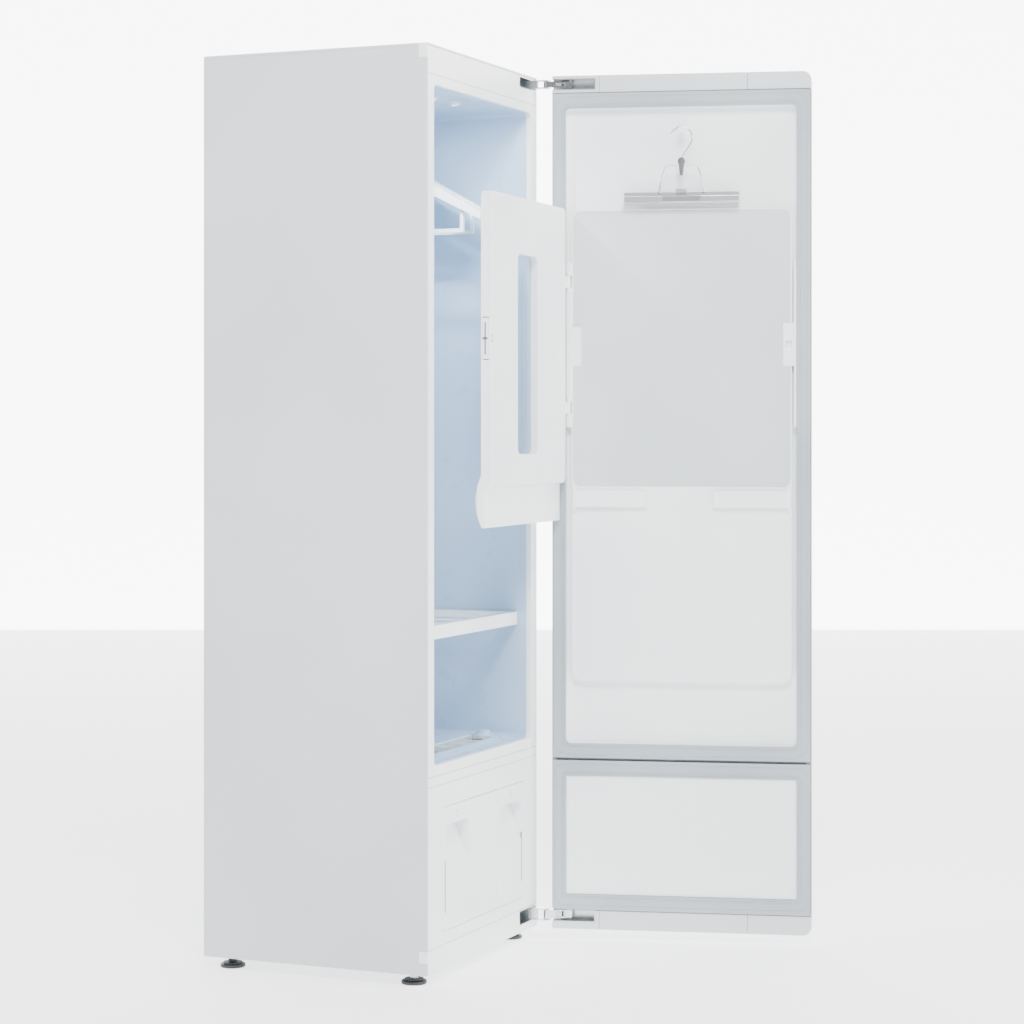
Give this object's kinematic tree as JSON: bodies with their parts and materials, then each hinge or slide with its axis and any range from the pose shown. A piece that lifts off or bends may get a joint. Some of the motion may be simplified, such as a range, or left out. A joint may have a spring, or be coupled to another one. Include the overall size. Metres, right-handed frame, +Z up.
{
  "type": "steam garment-care cabinet with door trouser press",
  "caption": "Tall steam garment cabinet with a hinged door whose inner face carries a folding trouser press, clamp arms and a trouser hanger.",
  "frame": {"origin": "centre of the cabinet's footprint, on the floor", "axes": "+X to the right seen from the front, +Y to the back, +Z up"},
  "size_m": [0.7667, 1.1455, 1.96],
  "materials": {
    "painted_steel": "satin powder coat",
    "white_plastic": "smooth satin",
    "liner_plastic": "satin",
    "zinc_steel": "zinc plated",
    "stainless_steel": "satin",
    "dark_plastic": "fine grain",
    "grey_plastic": "satin",
    "frame_grey": "soft satin",
    "opaque_glass": "back-printed, polished",
    "frosted_plastic": "fine frosted",
    "pressing_face": "smooth satin",
    "window_glass": "clear"
  },
  "bodies": {
    "cabinet": {"side_panel_left": "painted_steel", "side_panel_right": "painted_steel", "top_cover": "white_plastic", "back_panel": "painted_steel", "base_frame": "zinc_steel", "front_rails": "white_plastic", "opening_frame": "white_plastic", "lower_fascia": "white_plastic", "kick_plate": "white_plastic", "corner_caps": "white_plastic", "chamber_liner": "liner_plastic", "sensor_grille": "liner_plastic", "ceiling_lights": "white_plastic", "chamber_tray": "liner_plastic", "compressor": "dark_plastic", "heat_exchangers": "zinc_steel", "blower_housing": "grey_plastic", "steam_generator": "zinc_steel", "water_pump": "dark_plastic", "control_box": "grey_plastic", "power_inlet": "dark_plastic", "hanger_drive": "white_plastic", "tank_bay": "grey_plastic", "cabinet_hinge_boxes": "zinc_steel", "panel_screws": "zinc_steel", "rear_feet": "dark_plastic"},
    "front_foot_left": {"front_foot_left": "dark_plastic"},
    "front_foot_right": {"front_foot_right": "dark_plastic"},
    "hinge_arms": {"hinge_arms": "zinc_steel"},
    "hinge_links": {"hinge_links": "zinc_steel"},
    "door": {"door_glass": "opaque_glass", "door_frame": "frame_grey", "door_liner": "white_plastic", "door_gaskets": "frame_grey", "lower_insert": "frosted_plastic", "door_caps": "white_plastic", "door_hinge_boxes": "zinc_steel", "touch_panel": "dark_plastic", "press_bed": "white_plastic", "press_pad": "pressing_face", "press_side_strips": "white_plastic", "catch_block": "white_plastic", "hanger_hook": "white_plastic"},
    "press_cover": {"press_cover_shell": "white_plastic", "press_cover_plate": "pressing_face", "cover_window": "window_glass"},
    "cover_latch": {"cover_latch": "white_plastic"},
    "trouser_arm_left": {"trouser_arm_left": "white_plastic"},
    "trouser_arm_right": {"trouser_arm_right": "white_plastic"},
    "trouser_hanger": {"trouser_hanger": "grey_plastic"},
    "hanger_jaw": {"hanger_jaw": "grey_plastic"},
    "hanger_lock": {"hanger_lock": "dark_plastic"},
    "hanger_rail": {"hanger_rail": "stainless_steel"},
    "garment_hanger_1": {"garment_hanger_1": "white_plastic"},
    "garment_hanger_2": {"garment_hanger_2": "white_plastic"},
    "tank_left": {"tank_left": "white_plastic"},
    "tank_right": {"tank_right": "white_plastic"},
    "shelf": {"shelf": "white_plastic"},
    "lint_filter": {"lint_filter": "grey_plastic"},
    "blower_wheel": {"blower_wheel": "dark_plastic"}
  },
  "joints": [
    {"name": "door_swing", "type": "hinge", "parent": "cabinet", "child": "door", "pos_m": [0.30123, -0.29608, 0], "axis": [0, 0, 1], "range_deg": [-104.2, 6]},
    {"name": "arm_turn", "type": "hinge", "parent": "cabinet", "child": "hinge_arms", "pos_m": [0.265, -0.252, 0], "axis": [0, 0, 1], "range_deg": [-107, 9]},
    {"name": "link_turn", "type": "hinge", "parent": "hinge_arms", "child": "hinge_links", "pos_m": [0.27191, -0.3, 0], "axis": [0, 0, 1], "range_deg": [-9, 107]},
    {"name": "cover_swing", "type": "hinge", "parent": "door", "child": "press_cover", "pos_m": [0.28741, -0.34778, 0], "axis": [0, 0, 1], "range_deg": [-8, 103]},
    {"name": "latch_press", "type": "slide", "parent": "press_cover", "child": "cover_latch", "axis": [0.9984, 0.0558, 0], "range_m": [0, 0.003], "stiffness_N_per_m": 400},
    {"name": "left_arm_swing", "type": "hinge", "parent": "door", "child": "trouser_arm_left", "pos_m": [0.28237, -0.36453, 1.001], "axis": [0, 0, -1], "range_deg": [0, 90]},
    {"name": "right_arm_swing", "type": "hinge", "parent": "door", "child": "trouser_arm_right", "pos_m": [0.40012, -0.82986, 1.001], "axis": [0, 0, 1], "range_deg": [0, 90]},
    {"name": "hanger_sway", "type": "hinge", "parent": "door", "child": "trouser_hanger", "pos_m": [0.3341, -0.60158, 1.838], "axis": [-0.2453, 0.9694, 0], "range_deg": [0, 30]},
    {"name": "jaw_open", "type": "hinge", "parent": "trouser_hanger", "child": "hanger_jaw", "pos_m": [0.33361, -0.6017, 1.684], "axis": [-0.2453, 0.9694, 0], "range_deg": [0, 25]},
    {"name": "lock_lift", "type": "slide", "parent": "trouser_hanger", "child": "hanger_lock", "axis": [0, 0, 1], "range_m": [0, 0.01]},
    {"name": "rail_shake", "type": "slide", "parent": "cabinet", "child": "hanger_rail", "axis": [1, 0, 0], "range_m": [-0.02, 0.02]},
    {"name": "garment_hanger_1_sway", "type": "hinge", "parent": "hanger_rail", "child": "garment_hanger_1", "pos_m": [0.125, -0.01, 1.815], "axis": [1, 0, 0], "range_deg": [-6, 6]},
    {"name": "garment_hanger_2_sway", "type": "hinge", "parent": "hanger_rail", "child": "garment_hanger_2", "pos_m": [0.178, -0.01, 1.815], "axis": [1, 0, 0], "range_deg": [-6, 6]},
    {"name": "left_tank_pull", "type": "slide", "parent": "cabinet", "child": "tank_left", "axis": [0, -1, 0], "range_m": [0, 0.2]},
    {"name": "right_tank_pull", "type": "slide", "parent": "cabinet", "child": "tank_right", "axis": [0, -1, 0], "range_m": [0, 0.2]},
    {"name": "shelf_pull", "type": "slide", "parent": "cabinet", "child": "shelf", "axis": [0, -1, 0], "range_m": [0, 0.25]},
    {"name": "filter_lift", "type": "slide", "parent": "cabinet", "child": "lint_filter", "axis": [0, 0, 1], "range_m": [0, 0.05]},
    {"name": "blower_spin", "type": "hinge", "parent": "cabinet", "child": "blower_wheel", "pos_m": [0.15, 0.165, 0.33], "axis": [0, -1, 0], "continuous": true},
    {"name": "left_foot_turn", "type": "hinge", "parent": "cabinet", "child": "front_foot_left", "pos_m": [-0.2585, -0.216, 0], "axis": [0, 0, 1], "continuous": true},
    {"name": "right_foot_turn", "type": "hinge", "parent": "cabinet", "child": "front_foot_right", "pos_m": [0.2585, -0.216, 0], "axis": [0, 0, 1], "continuous": true}
  ],
  "couplings": [
    {"joint": "arm_turn", "follows": "door_swing", "ratio": 1},
    {"joint": "link_turn", "follows": "door_swing", "ratio": -1},
    {"joint": "cover_swing", "follows": "door_swing", "ratio": -0.96929}
  ]
}
